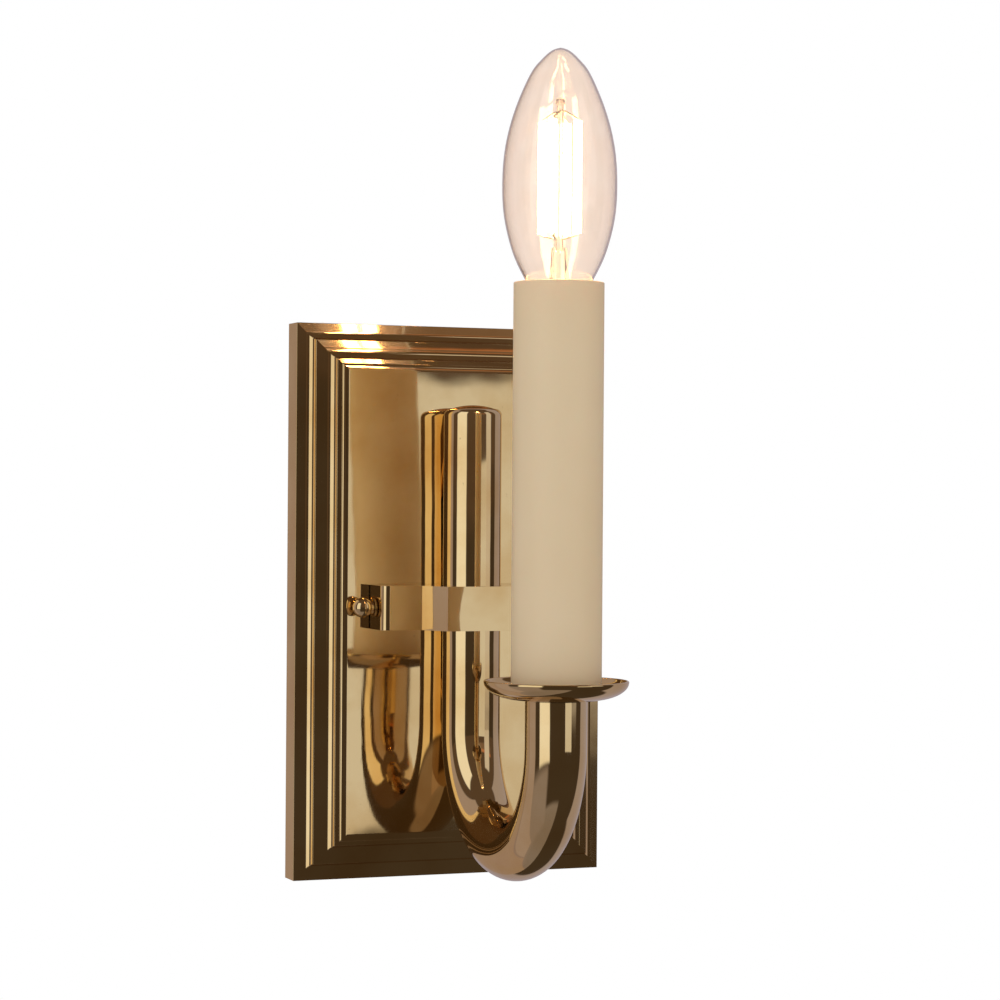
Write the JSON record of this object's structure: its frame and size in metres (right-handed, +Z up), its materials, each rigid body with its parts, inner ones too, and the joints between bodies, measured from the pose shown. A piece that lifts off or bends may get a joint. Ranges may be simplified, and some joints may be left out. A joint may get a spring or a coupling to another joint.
{
  "type": "wall light",
  "caption": "Single-arm electric candle wall light: moulded rectangular backplate, U-shaped tube arm, drip dish, candle sleeve and candle lamp.",
  "frame": {"origin": "centre of the backplate's back plane, on the wall", "axes": "+Z up, -Y out of the wall towards the room, +X to the right as seen from the room"},
  "size_m": [0.1086, 0.1232, 0.2632],
  "materials": {
    "polished_brass": "mirror polished, lightly aged",
    "plain_brass": "turned, unpolished",
    "zinc_steel": "zinc plated",
    "nickel_plate": "nickel plated",
    "sleeve_card": "satin cream",
    "lampholder_resin": "moulded, satin",
    "terminal_nylon": "moulded, satin",
    "bulb_glass": "clear, blown",
    "filament_phosphor": "lit, warm white phosphor coating",
    "black_vitrite": "fired glass",
    "wire_brown": "smooth PVC",
    "wire_blue": "smooth PVC",
    "wire_green": "smooth PVC"
  },
  "bodies": {
    "fixture": {"arm_nipple": "plain_brass", "arm_nut": "plain_brass", "arm_top_cap": "polished_brass", "arm_tube": "polished_brass", "arm_washer": "zinc_steel", "backplate": "polished_brass", "candle_stem": "zinc_steel", "dish_nut": "plain_brass", "dish_washer": "zinc_steel", "drip_dish": "polished_brass", "earth_screw": "zinc_steel", "earth_tag": "nickel_plate", "earth_washer": "zinc_steel", "earth_wire": "wire_green", "lampholder_base": "zinc_steel", "lampholder_body": "lampholder_resin", "lampholder_contact": "plain_brass", "lampholder_nut": "plain_brass", "lampholder_shell": "nickel_plate", "leg_bush": "plain_brass", "saddle": "polished_brass", "terminal_block": "terminal_nylon", "terminal_fixing_screw": "zinc_steel", "terminal_screw_1": "zinc_steel", "terminal_screw_2": "zinc_steel", "terminal_screw_3": "zinc_steel", "terminal_screw_4": "zinc_steel", "terminal_tube_live": "plain_brass", "terminal_tube_neutral": "plain_brass", "wall_bracket": "zinc_steel", "wire_live": "wire_brown", "wire_neutral": "wire_blue"},
    "sleeve": {"candle_sleeve": "sleeve_card"},
    "lamp_rise": {"bulb_contact": "nickel_plate", "bulb_insulator": "black_vitrite"},
    "lamp": {"bulb_cap": "nickel_plate", "bulb_glass": "bulb_glass", "bulb_stem": "bulb_glass", "filament_1": "filament_phosphor", "filament_2": "filament_phosphor", "filament_3": "filament_phosphor", "filament_4": "filament_phosphor", "filament_lead_lower_a": "nickel_plate", "filament_lead_lower_b": "nickel_plate", "filament_lead_upper_a": "nickel_plate", "filament_lead_upper_b": "nickel_plate"},
    "side_screw_left_travel": {"ball_washer_left": "plain_brass"},
    "side_screw_left": {"ball_screw_left": "polished_brass"},
    "side_screw_right_travel": {"ball_washer_right": "plain_brass"},
    "side_screw_right": {"ball_screw_right": "polished_brass"}
  },
  "joints": [
    {"name": "lamp_lift", "type": "slide", "parent": "fixture", "child": "lamp_rise", "axis": [0, 0, 1], "range_m": [0, 0.0085]},
    {"name": "lamp_turn", "type": "hinge", "parent": "lamp_rise", "child": "lamp", "pos_m": [0, -0.101, 0.1], "axis": [0, 0, 1], "range_deg": [0, 1080]},
    {"name": "sleeve_lift", "type": "slide", "parent": "fixture", "child": "sleeve", "axis": [0, 0, 1], "range_m": [0, 0.0045]},
    {"name": "side_screw_left_out", "type": "slide", "parent": "fixture", "child": "side_screw_left_travel", "axis": [-1, 0, 0], "range_m": [0, 0.0035]},
    {"name": "side_screw_left_turn", "type": "hinge", "parent": "side_screw_left_travel", "child": "side_screw_left", "pos_m": [-0.0315, -0.0235, -0.0015], "axis": [-1, 0, 0], "range_deg": [0, 1830]},
    {"name": "side_screw_right_out", "type": "slide", "parent": "fixture", "child": "side_screw_right_travel", "axis": [1, 0, 0], "range_m": [0, 0.0035]},
    {"name": "side_screw_right_turn", "type": "hinge", "parent": "side_screw_right_travel", "child": "side_screw_right", "pos_m": [0.0315, -0.0235, -0.0015], "axis": [1, 0, 0], "range_deg": [0, 1830]}
  ],
  "couplings": [
    {"joint": "lamp_lift", "follows": "lamp_turn", "m_per_rad": 0.00044882},
    {"joint": "side_screw_left_turn", "follows": "side_screw_left_out", "rad_per_m": 8976},
    {"joint": "side_screw_right_turn", "follows": "side_screw_right_out", "rad_per_m": 8976}
  ]
}
